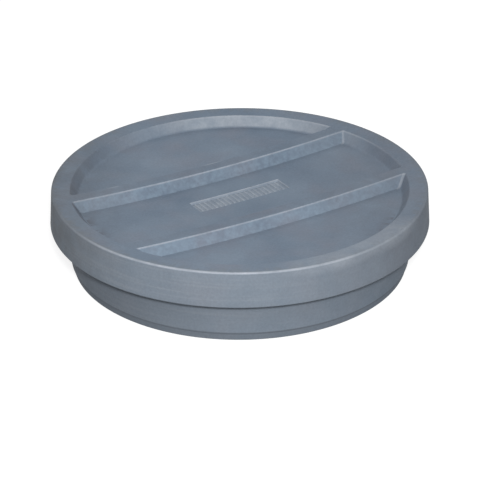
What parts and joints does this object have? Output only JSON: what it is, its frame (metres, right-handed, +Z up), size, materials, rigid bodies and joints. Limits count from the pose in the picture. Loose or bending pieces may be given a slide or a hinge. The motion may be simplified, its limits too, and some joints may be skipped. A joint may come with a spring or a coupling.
{
  "type": "plastic manhole cover",
  "caption": "Round plastic manhole cover with a dished, ribbed and recessed top, a seat flange and a tapered skirt that plugs the shaft opening.",
  "frame": {"origin": "centre of the flat underside", "axes": "+Z up through the dished top, +X along the ribs, +Y towards the rear pocket"},
  "size_m": [0.6518, 0.6518, 0.1412],
  "materials": {
    "cover": "satin grey-blue moulded polyethylene"
  },
  "bodies": {
    "root": {"cover": "cover"}
  },
  "joints": []
}
